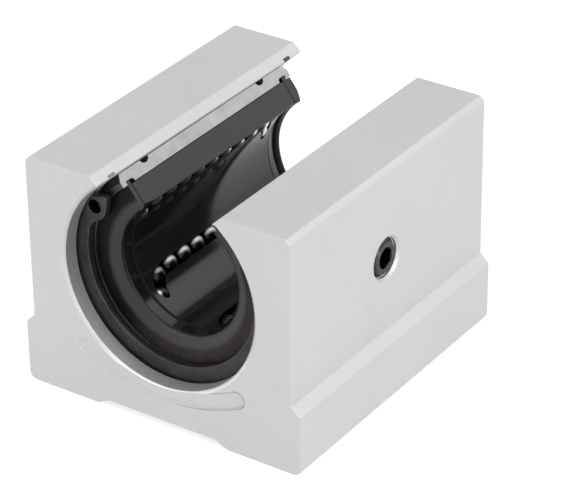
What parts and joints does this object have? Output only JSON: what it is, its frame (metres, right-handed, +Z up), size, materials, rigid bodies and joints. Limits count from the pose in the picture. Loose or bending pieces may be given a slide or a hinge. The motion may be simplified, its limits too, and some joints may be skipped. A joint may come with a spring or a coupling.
{
  "type": "linear ball bushing",
  "caption": "Open linear ball bushing held by circlips in an aluminium pillow block, slotted on top so that a supported shaft can pass, with a set screw in its side.",
  "frame": {"origin": "middle of the mounting face, straight under the shaft axis, halfway along the block", "axes": "+X across the block towards the face with the set screw, +Y along the shaft away from the front face, +Z up from the mounting face towards the open slot"},
  "size_m": [0.048, 0.051, 0.0375],
  "materials": {
    "housing": "fine matt, bead blasted and clear anodised, with machined ends",
    "sleeve": "ground bearing steel",
    "retainer": "moulded black plastic, slightly glossy",
    "seal": "black nitrile rubber",
    "circlip": "blackened spring steel",
    "set_screw": "blackened steel",
    "balls": "polished bearing steel"
  },
  "bodies": {
    "block": {"housing": "housing", "outer_sleeve": "sleeve", "ball_retainer": "retainer", "front_end_seal": "seal", "rear_end_seal": "seal", "front_circlip": "circlip", "rear_circlip": "circlip"},
    "set_screw": {"set_screw": "set_screw"},
    "circuit_1_loaded_row": {"circuit_1_loaded_balls": "balls"},
    "circuit_1_return_row": {"circuit_1_return_balls": "balls"},
    "circuit_1_front_turn": {"circuit_1_front_turn_balls": "balls"},
    "circuit_1_rear_turn": {"circuit_1_rear_turn_balls": "balls"},
    "circuit_2_loaded_row": {"circuit_2_loaded_balls": "balls"},
    "circuit_2_return_row": {"circuit_2_return_balls": "balls"},
    "circuit_2_front_turn": {"circuit_2_front_turn_balls": "balls"},
    "circuit_2_rear_turn": {"circuit_2_rear_turn_balls": "balls"},
    "circuit_3_loaded_row": {"circuit_3_loaded_balls": "balls"},
    "circuit_3_return_row": {"circuit_3_return_balls": "balls"},
    "circuit_3_front_turn": {"circuit_3_front_turn_balls": "balls"},
    "circuit_3_rear_turn": {"circuit_3_rear_turn_balls": "balls"},
    "circuit_4_loaded_row": {"circuit_4_loaded_balls": "balls"},
    "circuit_4_return_row": {"circuit_4_return_balls": "balls"},
    "circuit_4_front_turn": {"circuit_4_front_turn_balls": "balls"},
    "circuit_4_rear_turn": {"circuit_4_rear_turn_balls": "balls"}
  },
  "joints": [
    {"name": "set_screw_turn", "type": "hinge", "parent": "block", "child": "set_screw", "pos_m": [0.0192, -0.001, 0.023], "axis": [1, 0, 0], "range_deg": [0, 630]},
    {"name": "circuit_1_loaded_travel", "type": "slide", "parent": "block", "child": "circuit_1_loaded_row", "axis": [0, 1, 0], "range_m": [-0.0017, 0.0017]},
    {"name": "circuit_1_return_travel", "type": "slide", "parent": "block", "child": "circuit_1_return_row", "axis": [0, 1, 0], "range_m": [-0.0017, 0.0017]},
    {"name": "circuit_1_front_turn_swing", "type": "hinge", "parent": "block", "child": "circuit_1_front_turn", "pos_m": [-0.01087, -0.0119, 0.02739], "axis": [-0.8442, 0, 0.5361], "range_deg": [-30.02, 30.02]},
    {"name": "circuit_1_rear_turn_swing", "type": "hinge", "parent": "block", "child": "circuit_1_rear_turn", "pos_m": [-0.01087, 0.0119, 0.02739], "axis": [-0.8442, 0, 0.5361], "range_deg": [-30.02, 30.02]},
    {"name": "circuit_2_loaded_travel", "type": "slide", "parent": "block", "child": "circuit_2_loaded_row", "axis": [0, 1, 0], "range_m": [-0.0017, 0.0017]},
    {"name": "circuit_2_return_travel", "type": "slide", "parent": "block", "child": "circuit_2_return_row", "axis": [0, 1, 0], "range_m": [-0.0017, 0.0017]},
    {"name": "circuit_2_front_turn_swing", "type": "hinge", "parent": "block", "child": "circuit_2_front_turn", "pos_m": [-0.00754, -0.0119, 0.01402], "axis": [-0.7707, 0, -0.6372], "range_deg": [-30.02, 30.02]},
    {"name": "circuit_2_rear_turn_swing", "type": "hinge", "parent": "block", "child": "circuit_2_rear_turn", "pos_m": [-0.00754, 0.0119, 0.01402], "axis": [-0.7707, 0, -0.6372], "range_deg": [-30.02, 30.02]},
    {"name": "circuit_3_loaded_travel", "type": "slide", "parent": "block", "child": "circuit_3_loaded_row", "axis": [0, 1, 0], "range_m": [-0.0017, 0.0017]},
    {"name": "circuit_3_return_travel", "type": "slide", "parent": "block", "child": "circuit_3_return_row", "axis": [0, 1, 0], "range_m": [-0.0017, 0.0017]},
    {"name": "circuit_3_front_turn_swing", "type": "hinge", "parent": "block", "child": "circuit_3_front_turn", "pos_m": [0.00621, -0.0119, 0.01306], "axis": [0.3678, 0, -0.9299], "range_deg": [-30.02, 30.02]},
    {"name": "circuit_3_rear_turn_swing", "type": "hinge", "parent": "block", "child": "circuit_3_rear_turn", "pos_m": [0.00621, 0.0119, 0.01306], "axis": [0.3678, 0, -0.9299], "range_deg": [-30.02, 30.02]},
    {"name": "circuit_4_loaded_travel", "type": "slide", "parent": "block", "child": "circuit_4_loaded_row", "axis": [0, 1, 0], "range_m": [-0.0017, 0.0017]},
    {"name": "circuit_4_return_travel", "type": "slide", "parent": "block", "child": "circuit_4_return_row", "axis": [0, 1, 0], "range_m": [-0.0017, 0.0017]},
    {"name": "circuit_4_front_turn_swing", "type": "hinge", "parent": "block", "child": "circuit_4_front_turn", "pos_m": [0.01138, -0.0119, 0.02584], "axis": [0.998, 0, 0.0625], "range_deg": [-30.02, 30.02]},
    {"name": "circuit_4_rear_turn_swing", "type": "hinge", "parent": "block", "child": "circuit_4_rear_turn", "pos_m": [0.01138, 0.0119, 0.02584], "axis": [0.998, 0, 0.0625], "range_deg": [-30.02, 30.02]}
  ],
  "couplings": [
    {"joint": "circuit_1_front_turn_swing", "follows": "circuit_1_loaded_travel", "rad_per_m": 308},
    {"joint": "circuit_1_rear_turn_swing", "follows": "circuit_1_loaded_travel", "rad_per_m": 308},
    {"joint": "circuit_1_return_travel", "follows": "circuit_1_loaded_travel", "ratio": -1},
    {"joint": "circuit_2_front_turn_swing", "follows": "circuit_1_loaded_travel", "rad_per_m": 308},
    {"joint": "circuit_2_rear_turn_swing", "follows": "circuit_1_loaded_travel", "rad_per_m": 308},
    {"joint": "circuit_2_loaded_travel", "follows": "circuit_1_loaded_travel", "ratio": 1},
    {"joint": "circuit_2_return_travel", "follows": "circuit_1_loaded_travel", "ratio": -1},
    {"joint": "circuit_3_front_turn_swing", "follows": "circuit_1_loaded_travel", "rad_per_m": 308},
    {"joint": "circuit_3_rear_turn_swing", "follows": "circuit_1_loaded_travel", "rad_per_m": 308},
    {"joint": "circuit_3_loaded_travel", "follows": "circuit_1_loaded_travel", "ratio": 1},
    {"joint": "circuit_3_return_travel", "follows": "circuit_1_loaded_travel", "ratio": -1},
    {"joint": "circuit_4_front_turn_swing", "follows": "circuit_1_loaded_travel", "rad_per_m": 308},
    {"joint": "circuit_4_rear_turn_swing", "follows": "circuit_1_loaded_travel", "rad_per_m": 308},
    {"joint": "circuit_4_loaded_travel", "follows": "circuit_1_loaded_travel", "ratio": 1},
    {"joint": "circuit_4_return_travel", "follows": "circuit_1_loaded_travel", "ratio": -1}
  ]
}
